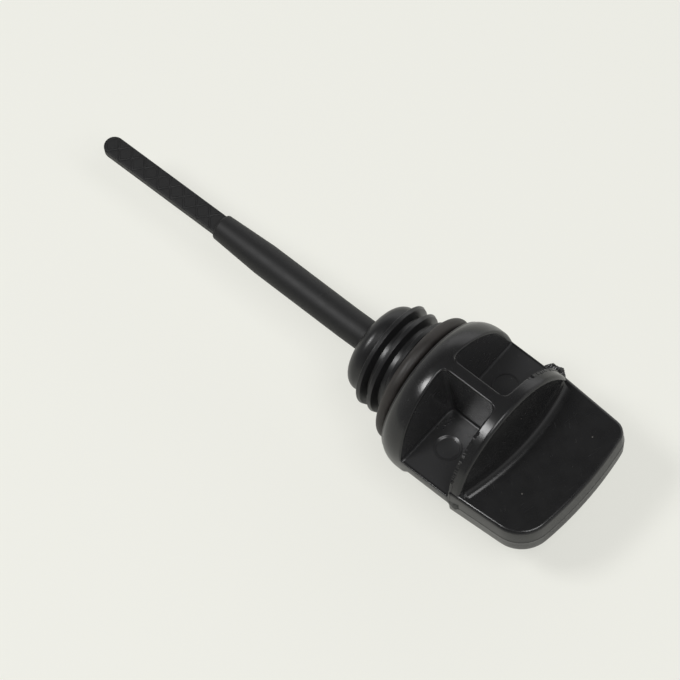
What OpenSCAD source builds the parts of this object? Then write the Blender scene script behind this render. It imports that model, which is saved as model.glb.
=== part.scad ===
// Screw-in oil filler cap with a moulded dipstick, lying on its side on its two round flanges.
// The cap is one plastic moulding, parted along the level plane through its axis, with a rubber seal ring.
// Every station along the axis is measured from the seat, the face of the big flange that presses on
// the ring. The blade points to -X and the handle to +X. The drawing is moved onto its rest at the end.

/* [Blade] */
// Width of the flat blade that shows the oil level
blade_w = 3.8; // [3:0.1:4.2]
// Thickness of the blade
blade_t = 1.8; // [1.2:0.1:2.4]
// Length of the blade from the shoulder of the stem to its round tip
blade_len = 27.5; // [20:0.5:40]
// Angle by which the blade is bent towards the -Y side
blade_bend = 0.9; // [0:0.1:2]
// Distance along the blade between neighbouring hatch grooves
hatch_step = 3.1; // [2.4:0.1:5]
// Angle of the hatch grooves to the blade
hatch_angle = 48; // [35:1:60]
// Width of one hatch groove
hatch_w = 0.5; // [0.3:0.05:0.8]
// Depth of one hatch groove
hatch_depth = 0.15; // [0.1:0.05:0.3]

/* [Stem] */
// Diameter of the round stem where it meets the plug
stem_d = 6; // [5:0.1:8]
// Diameter of the stem at the shoulder of the blade
stem_front_d = 5; // [4.8:0.1:6]
// Length of the stem from the shoulder to the front of the plug
stem_len = 36; // [25:0.5:60]
// Length over which the stem grows to its full diameter
stem_taper_len = 10.5; // [5:0.5:20]
// Bevel around the shoulder where the stem meets the blade
stem_bevel = 0.4; // [0.2:0.1:0.8]
// Radius of the fillet where the stem meets the plug
stem_fillet = 1.2; // [0.5:0.1:2]

/* [Plug and thread] */
// Outer diameter of the thread
thread_d = 20; // [18:0.5:24]
// Advance of the thread in one turn
thread_pitch = 2.5; // [2:0.25:3]
// Depth of the thread below its crest
thread_depth = 1.5; // [1:0.1:1.8]
// Number of turns, with both run-outs
thread_turns = 2.2; // [1.5:0.1:3]
// Turn from the +Y side at which the thread starts, in degrees
thread_start = -130; // [-180:5:180]
// Distance from the nose to the middle of the thread's first crest
thread_lead = 2.9; // [1.5:0.1:4]
// Width of the thread's rounded crest
thread_crest_w = 1; // [0.6:0.1:1.4]
// Drop of the crest's rounded brow below its top
thread_crest_round = 0.3; // [0.1:0.05:0.4]
// Turn over which the thread rises and runs out, in degrees
thread_fade = 60; // [30:5:120]
// Radius of the nose's rounded front edge
nose_round = 3; // [1:0.1:4]
// Length of the plug from its front to the neck
plug_len = 9.9; // [8:0.1:14]
// Diameter of the neck that the ring sits on
neck_d = 19.6; // [16:0.1:20]

/* [Seal ring] */
// Diameter of the rubber ring's round section
seal_section = 2.6; // [2.5:0.1:4]
// Clearance between the ring and what it fits: the neck and the big flange
seal_gap = 0.1; // [0.05:0.05:0.3]
// Angle at which the loose ring sits askew, closest to the flange on the -Y side
seal_lean = 1.8; // [0:0.1:3]

/* [Flanges] */
// Diameter of both flanges, on which the cap rests
flange_d = 30; // [28:0.5:36]
// Length of the big flange's rim at the mid-plane
big_flange_len = 6; // [5:0.2:9]
// Length and depth of the big flange's rounded front edge
big_flange_round = 2.5; // [1:0.1:3.5]
// Length of the small flange's rim, up to its rounded edge
small_flange_len = 1.8; // [1:0.1:4]
// Radius of the small flange's rounded back edge
small_flange_round = 0.8; // [0.4:0.1:1.5]
// Rise of the domed back face of the small flange
dome_rise = 2; // [1:0.1:4]

/* [Cored grip] */
// Clear length of the pockets at the mid-plane
pocket_len = 10.4; // [8:0.2:16]
// Thickness of the level web between the pockets
web_t = 2.4; // [2:0.1:4]
// Thickness of the upright rib between the pockets
rib_t = 2.3; // [1.6:0.1:4]
// Draft of the pocket wall on the big flange, in degrees
pocket_draft = 6; // [0:1:10]
// Radius of the pockets' upright corners
pocket_corner = 1.2; // [0.5:0.1:2]

/* [Handle] */
// Width of the handle where it leaves the small flange
handle_w = 30.2; // [28:0.1:38]
// How much narrower the handle is at its end
handle_taper = 1.9; // [0:0.1:4]
// Length of the handle from the small flange's rim to its end
handle_len = 16.2; // [12:0.1:30]
// Thickness of the handle
handle_t = 7.2; // [5:0.2:10]
// Radius of the handle's curved end
handle_end_r = 70; // [40:5:200]
// Radius of the handle's corner on the +Y side
handle_corner_far = 3.1; // [2:0.1:7]
// Radius of the handle's corner on the -Y side
handle_corner_near = 6.4; // [2:0.1:7]
// Radius along the edges of the handle's faces
handle_edge = 0.7; // [0.4:0.1:1.5]
// Inset of the handle's faces from the parting line
handle_draft = 0.2; // [0.2:0.1:1]

/* [Moulding marks] */
// Diameter of the ejector marks in the pockets
ejector_d = 4.4; // [3:0.2:6]
// Distance from the big flange's wall to the middle of an ejector mark
ejector_setback = 4.5; // [3:0.1:6]
// Distance from the axis to the middle of an ejector mark
ejector_offset = 7.8; // [6:0.1:9]
// Depth of the ejector marks
ejector_depth = 0.15; // [0.1:0.05:0.3]
// Height of the torn gate stub on the edge of the small flange
gate_h = 2.2; // [1:0.1:3]
// Width of the gate stub along the axis
gate_w = 5; // [2:0.1:6]
// Thickness of the gate stub
gate_t = 1.4; // [1:0.1:2.4]
// Height of the flash opposite the gate stub
flash_h = 0.5; // [0.3:0.1:1]
// Length of the flash along the axis
flash_w = 3; // [2:0.1:5]
// Thickness of the flash
flash_t = 0.5; // [0.3:0.05:0.8]

/* [Hidden] */
$fn = 64;

// How far a cut reaches past a face, a joined shape is sunk in, and a hull's thinnest layer
OVER = 1;
SUNK = 0.5;
SKIN = 0.01;
// Half of the bare root between two turns of the thread
THREAD_GAP = 0.15;
// Share of the thread's height at which it starts and ends
THREAD_TOE = 0.1;
// Share of the crest's width that is flat
THREAD_FLAT = 1 / 3;
// Place of the gate along the axis, ahead of the small flange's wall
GATE_LEAD = 1.4;
// Length of the handle's plan inside the small flange
handle_root = 8;

flange_r = flange_d / 2;
neck_r = neck_d / 2;
root_r = thread_d / 2 - thread_depth;
seal_r = seal_section / 2;
seal_centre_r = neck_r + seal_gap + seal_r;
seal_rise = (seal_centre_r + seal_r) * sin(seal_lean);
neck_len = seal_section + 2 * seal_rise + seal_gap;

nose_x = -neck_len - plug_len;
shoulder_x = nose_x - stem_len;
tip_x = shoulder_x - blade_len;
pocket_x0 = big_flange_len;
pocket_x1 = pocket_x0 + pocket_len;
rim_x1 = pocket_x1 + small_flange_len;
dome_x = rim_x1 + small_flange_round;
end_x = rim_x1 + handle_len;
gate_x = pocket_x1 - GATE_LEAD;

// Half of the greatest width on the -Y side, at the handle's root or at the flash
handle_slope = handle_taper / 2 / handle_len;
handle_root_half = handle_w / 2 + handle_slope * (rim_x1 - pocket_x1 - SUNK);
half_w = max(flange_r + flash_h, handle_root_half);

// Points of an arc about (cx, cy), from angle a0 to a1 in degrees, in n steps
function arc(cx, cy, r, a0, a1, n = 8) =
    [for (k = [0:n]) let (a = a0 + (a1 - a0) * k / n) [cx + r * cos(a), cy + r * sin(a)]];

// Turns a shape that is drawn about Z so that it lies along X
module along_x() rotate([0, 90, 0]) children();

// Both halves of what the two mould halves form alike, above and below the parting plane
module both_halves() {
    children();
    mirror([0, 0, 1]) children();
}

// Stem, plug core, neck and both flanges, turned about the axis
module turned_body() {
    dome_r = flange_r - small_flange_round;
    dome_ball = (dome_r * dome_r + dome_rise * dome_rise) / (2 * dome_rise);
    dome_half = asin(dome_r / dome_ball);
    profile = concat(
        [[0, shoulder_x]],
        [[stem_front_d / 2 - stem_bevel, shoulder_x], [stem_front_d / 2, shoulder_x + stem_bevel]],
        [[stem_d / 2, shoulder_x + stem_taper_len]],
        arc(stem_d / 2 + stem_fillet, nose_x - stem_fillet, stem_fillet, 180, 90, 4),
        arc(root_r - nose_round, nose_x + nose_round, nose_round, -90, 0),
        [[root_r, -neck_len], [neck_r, -neck_len], [neck_r, 0]],
        [[flange_r - big_flange_round, 0]],
        arc(flange_r - big_flange_round, big_flange_round, big_flange_round, -90, 0),
        [[flange_r, big_flange_round + SUNK], [0, big_flange_round + SUNK]]
    );
    rear = concat(
        [[0, pocket_x1], [flange_r, pocket_x1]],
        arc(dome_r, rim_x1, small_flange_round, 0, 90, 6),
        arc(0, dome_x + dome_rise - dome_ball, dome_ball, 90 - dome_half, 90, 10)
    );
    along_x() {
        rotate_extrude() polygon(profile);
        rotate_extrude() polygon(rear);
    }
}

// One round of the thread's section, grown to a share of its height at the run-outs
function thread_ring(turn, grown) =
    let (
        a = thread_start + 360 * turn,
        x = nose_x + thread_lead + thread_pitch * turn,
        foot = thread_pitch / 2 - THREAD_GAP,
        crest = thread_crest_w / 2,
        flat = crest * THREAD_FLAT,
        top = root_r + thread_depth * grown,
        brow = top - thread_crest_round * grown
    )
    [for (p = [[root_r - SUNK, -foot], [brow, -crest], [top, -flat],
               [top, flat], [brow, crest], [root_r - SUNK, foot]])
        [x + p[1], p[0] * cos(a), p[0] * sin(a)]];

// Right-hand thread, swept round the plug ring by ring, which rises from the root and runs out into it
module thread() {
    steps = 40;
    n = round(thread_turns * steps);
    fade = thread_fade / 360 * steps;
    rings = [for (k = [0:n])
        thread_ring(k / steps, min(1, THREAD_TOE + k / fade, THREAD_TOE + (n - k) / fade))];
    m = len(rings[0]);
    sides = [for (k = [0:n - 1], j = [0:m - 1]) let (a = k * m + j, b = k * m + (j + 1) % m)
        each [[a, b, b + m], [a, b + m, a + m]]];
    ends = [[for (j = [m - 1:-1:0]) j], [for (j = [0:m - 1]) n * m + j]];
    polyhedron([for (r = rings) each r], concat(sides, ends));
}

// Space of one pocket, above the web and to the +Y side of the rib
module pocket() {
    y0 = rib_t / 2;
    z0 = web_t / 2;
    intersection() {
        // wall on the big flange, which leans back with the draft
        translate([pocket_x0, y0, z0]) rotate([0, -pocket_draft, 0]) translate([0, 0, -flange_r])
            linear_extrude(3 * flange_r) pocket_plan(pocket_len + flange_r);
        // wall on the small flange, which stands upright
        translate([pocket_x1, y0, z0]) mirror([1, 0, 0])
            linear_extrude(flange_r) pocket_plan(pocket_len + flange_r);
    }
}

// Plan of a pocket, with its rounded corner at the origin
module pocket_plan(length) {
    translate([pocket_corner, 0]) square([length, flange_r]);
    translate([0, pocket_corner]) square([length, flange_r]);
    translate([pocket_corner, pocket_corner]) circle(pocket_corner);
}

// Web and rib between the flanges: a full drum with four drafted pockets cored out of it
module cored_grip() {
    difference() {
        along_x() translate([0, 0, big_flange_round])
            cylinder(h = pocket_x1 + SUNK - big_flange_round, r = flange_r);
        both_halves() {
            pocket();
            mirror([0, 1, 0]) pocket();
            ejector_marks();
        }
    }
}

// The +Y half of the handle's plan: a tapered side, a rounded corner and a curved end, drawn in by an inset
module handle_half_plan(corner, inset) {
    start_x = pocket_x1 + SUNK;
    far_x = rim_x1 - handle_root;
    intersection() {
        offset(r = corner - inset, $fn = 64) offset(delta = -corner) intersection() {
            polygon([[far_x, -flange_d], [end_x + OVER, -flange_d],
                     [end_x + OVER, handle_w / 2 - handle_slope * (handle_len + OVER)],
                     [far_x, handle_w / 2 + handle_slope * handle_root]]);
            translate([end_x - handle_end_r, 0]) circle(handle_end_r, $fn = 240);
        }
        translate([start_x, 0]) square([end_x - start_x, handle_w]);
    }
}

// Plan of the handle, with a corner of its own on each side
module handle_plan(inset) {
    handle_half_plan(handle_corner_far, inset);
    mirror([0, 1]) handle_half_plan(handle_corner_near, inset);
}

// Handle plate, whose two halves narrow from the parting line to a rounded edge
module handle() {
    both_halves() hull() {
        linear_extrude(SKIN) handle_plan(0);
        for (a = [0, 45, 90])
            linear_extrude(handle_t / 2 - handle_edge * (1 - sin(a)))
                handle_plan(handle_draft + handle_edge * (1 - cos(a)));
    }
}

// Grooves that run one way across the face of the blade
module hatch_grooves(angle) {
    count = floor(blade_len / hatch_step);
    for (k = [0:count])
        translate([tip_x + k * hatch_step, 0, blade_t / 2 - hatch_depth]) rotate([0, 0, angle])
            translate([-blade_w, -hatch_w / 2, 0]) cube([2 * blade_w, hatch_w, OVER]);
}

// Flat blade with a round tip and a diamond hatch on both faces
module blade() {
    round_x = tip_x + blade_w / 2;
    difference() {
        translate([0, 0, -blade_t / 2]) {
            translate([round_x, -blade_w / 2, 0]) cube([shoulder_x - round_x + SUNK, blade_w, blade_t]);
            translate([round_x, 0, 0]) cylinder(h = blade_t, d = blade_w);
        }
        intersection() {
            both_halves() {
                hatch_grooves(hatch_angle);
                hatch_grooves(-hatch_angle);
            }
            translate([tip_x, -blade_w, -blade_t]) cube([blade_len, 2 * blade_w, 2 * blade_t]);
        }
    }
}

// Torn stub of the gate on the +Y edge, where the web meets the small flange, which narrows to a peak
module gate_stub() {
    shelf_w = gate_w * 0.6;
    shelf_h = gate_h * 0.6;
    peak_w = gate_w * 0.1;
    translate([gate_x, flange_r, 0]) hull() {
        translate([-gate_w / 2, -SUNK, -gate_t / 2]) cube([gate_w, SUNK, gate_t]);
        translate([-shelf_w / 2, 0, -gate_t / 4]) cube([shelf_w, shelf_h, gate_t / 2]);
        translate([shelf_w / 4, 0, 0]) cube([peak_w, gate_h, gate_t / 4]);
    }
}

// Thin fin of flash on the -Y edge of the small flange
module flash() {
    reach = flash_w / 4;
    translate([0, -flange_r, -flash_t / 2]) linear_extrude(flash_t)
        polygon([[pocket_x1 - reach, SUNK], [pocket_x1 - reach, 0],
                 [pocket_x1 + reach, -flash_h * 0.6],
                 [rim_x1, -flash_h], [rim_x1 + reach, 0], [rim_x1, SUNK]]);
}

// Round marks that the ejector pins left on the floors of the four pockets
module ejector_marks() {
    for (side = [-1, 1])
        translate([pocket_x0 + ejector_setback, side * ejector_offset, web_t / 2 - ejector_depth])
            cylinder(h = ejector_depth + OVER, d = ejector_d);
}

// The whole moulding, in one shot of black plastic
module cap_moulding() {
    color([0.07, 0.07, 0.075]) {
        turned_body();
        thread();
        cored_grip();
        handle();
        translate([shoulder_x, 0, 0]) rotate([0, 0, blade_bend]) translate([-shoulder_x, 0, 0]) blade();
        gate_stub();
        flash();
    }
}

// Loose rubber ring on the neck, a little askew
module seal_ring() {
    color([0.13, 0.115, 0.105]) translate([-seal_gap - seal_rise - seal_r, 0, 0])
        rotate([0, 0, seal_lean]) along_x() rotate_extrude() translate([seal_centre_r, 0]) circle(seal_r);
}

// Puts the middle of the whole length and width over the origin and the flanges on the ground
module at_rest() translate([-(tip_x + end_x) / 2, -(flange_r + gate_h - half_w) / 2, flange_r]) children();

at_rest() cap_moulding();
at_rest() seal_ring();
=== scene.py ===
"""Dresses the screw-in oil dipstick cap: the moulding, its seal ring, and the table and light around them.

Drawing coordinates are in metres from the seat, where the big flange presses on the ring: x along the
axis towards the handle, y across and z up from the axis. place() moves them into the frame's coordinates.
"""

import math
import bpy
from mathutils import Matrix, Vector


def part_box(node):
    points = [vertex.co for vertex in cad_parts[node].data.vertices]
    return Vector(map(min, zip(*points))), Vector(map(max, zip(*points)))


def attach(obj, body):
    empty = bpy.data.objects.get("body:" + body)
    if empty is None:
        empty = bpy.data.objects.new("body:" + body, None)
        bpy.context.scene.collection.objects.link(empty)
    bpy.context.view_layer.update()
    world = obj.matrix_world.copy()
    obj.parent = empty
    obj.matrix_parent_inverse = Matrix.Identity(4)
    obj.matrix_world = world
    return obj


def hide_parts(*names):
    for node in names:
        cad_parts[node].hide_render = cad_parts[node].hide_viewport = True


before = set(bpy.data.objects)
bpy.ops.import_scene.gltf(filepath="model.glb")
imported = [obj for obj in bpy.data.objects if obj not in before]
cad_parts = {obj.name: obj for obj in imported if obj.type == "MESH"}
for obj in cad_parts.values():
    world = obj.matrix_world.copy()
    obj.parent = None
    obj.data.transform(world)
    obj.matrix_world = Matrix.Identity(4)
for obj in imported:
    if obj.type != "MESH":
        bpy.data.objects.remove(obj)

from types import SimpleNamespace

import bmesh
import bpy
import numpy as np
from mathutils import Matrix, Vector

bl_info = {
    "name": "Oil dipstick cap",
    "version": (1, 0, 0),
    "blender": (4, 5, 0),
    "location": "3D View > Sidebar > Cap",
    "description": "Models a moulded oil filler cap with its dipstick blade and seal ring",
    "category": "Object",
}

MM = 0.001
TINY = 0.01 * MM
# Angles of a quarter turn in seven steps, for small roundings
QUARTER = [math.radians(15 * k) for k in range(7)]

BODY = "root"
MOULDING_NODE = "cap_moulding"
RING_NODE = "seal_ring"
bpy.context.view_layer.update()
MOULDING_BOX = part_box(MOULDING_NODE)

# How much longer than deep the big flange's front rounding is
FRONT_STRETCH = 1.7
# Turn of the fine ridge on the front rounding, its spread in degrees and its height
RIDGE_TURN = 154
RIDGE_SPREAD = 2.2
RIDGE_RISE = 0.1 * MM

# Roughness of the polished mould faces before haze, scratches and dust are added
GLOSS_ROUGHNESS = 0.20

# Camera, as worked out from the photograph
VIEW_AZIMUTH = math.radians(48.48)
VIEW_ELEVATION = math.radians(63.58)
VIEW_ROLL = math.radians(-8.12)
VIEW_DISTANCE = 0.8
VIEW_LENS = 240.9
# The point at the picture's centre, from the seat on the axis
VIEW_AIM = Vector((-18.13 * MM, -3.6 * MM, 0))

# Soft panels of light: name, direction from the aim, distance, width, height and power
PANELS = (
    ("window", (-0.333, -0.36, 0.872), 0.9, 0.24, 0.24, 3.4),
    ("front_panel", (0.44, -0.06, 0.86), 1.0, 0.45, 0.45, 3.2),
    ("far_wall", (-0.35, 0.85, 0.38), 1.2, 1.3, 0.5, 1.0),
)
# Brightness of the room overhead and near the level of the table
ROOM_ABOVE = 0.09
ROOM_LEVEL = 0.75
# Brightness of the room's near and far side
ROOM_NEAR = 0.3
ROOM_FAR = 1.2
# Half of the table's width
TABLE_REACH = 3.0
# Share of the table's brightness that no shadow takes away, and its strength
TABLE_GLOW = 0.6
TABLE_GLOW_STRENGTH = 1.1


def length(name, description, default, low, high):
    """A length property, given in millimetres"""
    return bpy.props.FloatProperty(
        name=name, description=description, default=default * MM, min=low * MM, max=high * MM, unit="LENGTH")


def angle(name, description, default, low, high):
    """An angle property, given in degrees"""
    return bpy.props.FloatProperty(
        name=name, description=description, default=math.radians(default), min=math.radians(low),
        max=math.radians(high), subtype="ANGLE")


def shade(name, description, default):
    """A colour property"""
    return bpy.props.FloatVectorProperty(
        name=name, description=description, default=default, size=3, subtype="COLOR", min=0, max=1)


class CapSizes(bpy.types.PropertyGroup):
    """Sizes of the moulding and the ring"""

    flange_d: length("Flange diameter", "Diameter of both flanges", 30, 28, 36)
    big_flange_len: length("Big flange", "Length of the big flange's rim at the level of the axis", 6, 5, 9)
    big_flange_round: length("Front rounding", "Radius of the big flange's front edge", 2.5, 1, 3.5)
    pocket_len: length(
        "Pocket length", "Clear length between the flanges at the level of the axis", 10.4, 8, 16)
    pocket_draft: angle("Pocket draft", "Lean of the pocket wall on the big flange", 6, 0, 10)
    pocket_corner: length("Pocket corner", "Radius of the pockets' upright corners", 1.2, 0.5, 2)
    pocket_floor: length("Floor fillet", "Radius along the foot of the pocket walls", 0.4, 0.2, 1)
    pocket_mouth: length("Mouth rounding", "Radius of the edges around the pockets' mouths", 0.4, 0.1, 0.8)
    rib_draft: length("Rib draft", "How much thicker each side of the rib is at its foot", 0.25, 0.1, 0.8)
    small_flange_len: length(
        "Small flange", "Length of the small flange's rim up to its rounded edge", 1.8, 1, 4)
    small_flange_round: length("Back rounding", "Radius of the small flange's back edge", 0.8, 0.4, 1.5)
    dome_rise: length("Dome", "Rise of the domed back face", 2, 1, 4)
    web_t: length("Web", "Thickness of the level web between the pockets", 2.4, 2, 4)
    rib_t: length("Rib", "Thickness of the upright rib between the pockets", 2.3, 1.6, 4)
    handle_w: length("Handle width", "Width of the handle at the small flange's rim", 30.2, 28, 38)
    handle_taper: length("Handle taper", "How much narrower the handle is at its end", 1.9, 0, 4)
    handle_len: length("Handle length", "Length of the handle from the rim to its end", 16.2, 12, 30)
    handle_t: length("Handle thickness", "Thickness of the handle", 7.2, 5, 10)
    handle_end_r: length("Handle end radius", "Radius of the handle's curved end", 70, 40, 200)
    handle_corner_far: length("Far corner", "Radius of the handle's corner on the far side", 3.1, 2, 7)
    handle_corner_near: length("Near corner", "Radius of the handle's corner on the near side", 6.4, 2, 7)
    handle_edge: length("Handle edge", "Radius along the edges of the handle's faces", 0.7, 0.4, 1.5)
    handle_draft: length("Handle draft", "Inset of the handle's faces from the parting line", 0.2, 0.1, 1)
    root_radius: length("Root fillet", "Radius where the domed face meets the handle", 1.8, 0.3, 2.5)
    stem_d: length("Stem diameter", "Diameter of the stem where it meets the plug", 6, 5, 8)
    stem_front_d: length("Stem front diameter", "Diameter of the stem at the blade's shoulder", 5, 4.8, 6)
    stem_len: length("Stem length", "Length of the stem from the shoulder to the plug", 36, 25, 60)
    stem_taper_len: length(
        "Stem taper", "Length over which the stem grows to its full diameter", 10.5, 5, 20)
    blade_w: length("Blade width", "Width of the flat blade", 3.8, 3, 4.2)
    blade_t: length("Blade thickness", "Thickness of the flat blade", 1.8, 1.2, 2.4)
    blade_len: length("Blade length", "Length of the blade from the shoulder to its tip", 27.5, 20, 40)
    blade_bend: angle("Blade bend", "Angle by which the blade is bent to the near side", 0.65, 0, 2)
    stem_sag: length("Stem sag", "How far the stem stands off the axis to the near side", 0.12, 0, 0.5)
    hatch_step: length("Hatch step", "Distance between neighbouring grooves along the blade", 3.1, 2.4, 5)
    hatch_angle: angle("Hatch angle", "Angle of the grooves to the blade", 48, 35, 60)
    hatch_w: length("Hatch width", "Width of one groove", 0.5, 0.3, 0.8)
    hatch_depth: length("Hatch depth", "Depth of one groove", 0.15, 0.1, 0.3)
    thread_d: length("Thread diameter", "Outer diameter of the thread", 20, 18, 24)
    thread_pitch: length("Thread pitch", "Advance of the thread in one turn", 2.5, 2, 3)
    thread_depth: length("Thread depth", "Depth of the thread below its crest", 1.5, 1, 1.8)
    thread_turns: bpy.props.FloatProperty(
        name="Thread turns", description="Number of turns with both run-outs",
        default=2.8, min=1.5, max=3)
    thread_start: angle(
        "Thread start", "Turn from the far side at which the thread starts", -130, -180, 180)
    thread_lead: length("Thread lead", "Distance from the nose to the thread's first crest", 2.9, 1.5, 4)
    nose_round: length("Nose rounding", "Radius of the plug's front edge", 3, 1, 4)
    plug_len: length("Plug length", "Length of the plug from its front to the neck", 9.9, 8, 14)
    neck_d: length("Neck diameter", "Diameter of the neck that the ring sits on", 19.6, 16, 20)
    seal_section: length("Ring section", "Diameter of the ring's round section", 2.6, 2.5, 4)
    seal_gap: length("Ring gap", "Clearance between the ring and the neck or the flange", 0.1, 0.05, 0.3)
    seal_lean: angle("Ring lean", "Angle at which the loose ring sits askew", 1.8, 0, 3)
    gate_h: length("Gate stub", "Height of the torn gate stub", 2.2, 1, 3)
    gate_w: length("Gate width", "Width of the gate stub along the axis", 5, 2, 6)
    gate_t: length("Gate thickness", "Thickness of the gate stub", 1.4, 1, 2.4)
    gate_lead: length("Gate place", "Place of the gate ahead of the small flange's wall", 1.4, 0, 3)
    flash_h: length("Flash", "Height of the flash opposite the gate", 0.5, 0.3, 1)
    ejector_d: length("Ejector mark", "Diameter of the ejector marks in the pockets", 4.4, 3, 6)
    ejector_setback: length(
        "Ejector setback", "Distance from the big flange's wall to an ejector mark", 4.5, 3, 6)
    ejector_offset: length("Ejector offset", "Distance from the axis to an ejector mark", 7.8, 6, 9)
    ejector_depth: length("Ejector depth", "Depth of the ejector marks", 0.15, 0.1, 0.3)
    segments: bpy.props.IntProperty(
        name="Segments", description="Facets around a turned shape", default=192, min=48, max=384)


class CapColours(bpy.types.PropertyGroup):
    """Colours of the moulding, the ring and the table"""

    plastic: shade("Plastic", "Black of the moulded plastic", (0.0135, 0.0135, 0.0138))
    rubber: shade("Rubber", "Brownish black of the seal ring", (0.022, 0.019, 0.017))
    scuff: shade("Scuff", "Grey of the fine scratches in the plastic", (0.10, 0.10, 0.10))
    dust: shade("Dust", "Pale dust on the plastic", (0.30, 0.28, 0.25))
    table: shade("Table", "Cream white of the table", (0.86, 0.86, 0.80))


def stations(s):
    """Places along the axis and radii that several shapes share"""
    st = SimpleNamespace()
    st.flange_r = s.flange_d / 2
    st.root_r = s.thread_d / 2 - s.thread_depth
    st.neck_r = s.neck_d / 2
    st.seal_r = s.seal_section / 2
    st.seal_centre_r = st.neck_r + s.seal_gap + st.seal_r
    st.seal_rise = (st.seal_centre_r + st.seal_r) * math.sin(s.seal_lean)
    st.neck_len = s.seal_section + 2 * st.seal_rise + s.seal_gap
    st.nose_x = -st.neck_len - s.plug_len
    st.shoulder_x = st.nose_x - s.stem_len
    st.tip_x = st.shoulder_x - s.blade_len
    st.pocket_x0 = s.big_flange_len
    st.pocket_x1 = s.big_flange_len + s.pocket_len
    st.rim_x1 = st.pocket_x1 + s.small_flange_len
    st.end_x = st.rim_x1 + s.handle_len
    st.gate_x = st.pocket_x1 - s.gate_lead
    # where the seat and the axis lie in the frame
    st.seat = Vector((MOULDING_BOX[1][0] - st.end_x, MOULDING_BOX[1][1] - st.flange_r - s.gate_h,
                      MOULDING_BOX[0][2] + st.flange_r))
    return st


def settings():
    """The sizes, the colours and the shared stations"""
    scene = bpy.context.scene
    return scene.cap_sizes, scene.cap_colours, stations(scene.cap_sizes)


def arc(cx, cy, r, a0, a1, n=8):
    """Points of an arc about (cx, cy) from angle a0 to a1, in degrees"""
    angles = [math.radians(a0 + (a1 - a0) * k / n) for k in range(n + 1)]
    return [(cx + r * math.cos(a), cy + r * math.sin(a)) for a in angles]


def eased(share):
    """A smooth step from 0 to 1"""
    return share * share * (3 - 2 * share)


def mesh_object(name, verts, faces):
    """An object with a clean mesh whose faces point outwards"""
    mesh = bpy.data.meshes.new(name)
    mesh.from_pydata([tuple(v) for v in verts], [], faces)
    bm = bmesh.new()
    bm.from_mesh(mesh)
    bmesh.ops.remove_doubles(bm, verts=bm.verts, dist=TINY / 10)
    bmesh.ops.recalc_face_normals(bm, faces=bm.faces)
    bm.to_mesh(mesh)
    bm.free()
    obj = bpy.data.objects.new(name, mesh)
    bpy.context.scene.collection.objects.link(obj)
    return obj


def loft(name, rings, closed_ends=True):
    """A closed skin over rings of equal length, with flat ends"""
    n = len(rings[0])
    verts = [v for ring in rings for v in ring]
    faces = []
    for k in range(len(rings) - 1):
        for j in range(n):
            a, b = k * n + j, k * n + (j + 1) % n
            faces.append((a, b, b + n, a + n))
    if closed_ends:
        faces.append(tuple(range(n)))
        faces.append(tuple((len(rings) - 1) * n + j for j in range(n)))
    return mesh_object(name, verts, faces)


def turned(name, profile, segments):
    """A profile of (x, radius) turned about the axis, closed at both ends"""
    angles = [2 * math.pi * j / segments for j in range(segments)]
    rings = [[(x, r * math.cos(a), r * math.sin(a)) for a in angles] for x, r in profile]
    return loft(name, rings)


def combine(base, other, operation):
    """Joins or cuts a second solid and removes it"""
    modifier = base.modifiers.new(operation.lower(), "BOOLEAN")
    modifier.operation = operation
    modifier.object = other
    modifier.solver = "MANIFOLD"
    depsgraph = bpy.context.evaluated_depsgraph_get()
    mesh = bpy.data.meshes.new_from_object(base.evaluated_get(depsgraph))
    base.modifiers.remove(modifier)
    old = base.data
    base.data = mesh
    bpy.data.meshes.remove(old)
    bpy.data.objects.remove(other)
    if not base.data.polygons:
        raise RuntimeError(f"{operation} left nothing of {base.name}")


def dome_shape(s, st):
    """The domed back face as (radius of its edge, radius of its ball, station of the ball's middle)"""
    edge = st.flange_r - s.small_flange_round
    ball = (edge ** 2 + s.dome_rise ** 2) / (2 * s.dome_rise)
    return edge, ball, st.rim_x1 + s.small_flange_round + s.dome_rise - ball


def dome_x(s, st, radius):
    """Station of the domed back face at a distance from the axis"""
    edge, ball, middle = dome_shape(s, st)
    return middle + math.sqrt(ball ** 2 - min(radius, edge) ** 2)


def nose_line(s, st):
    """The plug's front: a slightly swollen round nose, then a short cone down to the thread's root"""
    squash, swell = 0.8, 0.15 * MM
    brow_len, brow_rise = 0.35 * MM, 0.12 * MM
    cone_len, cone_drop = 1.7 * MM, 0.25 * MM
    back = st.nose_x + squash * s.nose_round
    line = [(back + x * squash, r + swell)
            for x, r in arc(0, st.root_r - s.nose_round, s.nose_round, 180, 90, 16)]
    return line + [(back + brow_len, st.root_r + brow_rise), (back + cone_len, st.root_r - cone_drop)]


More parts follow.
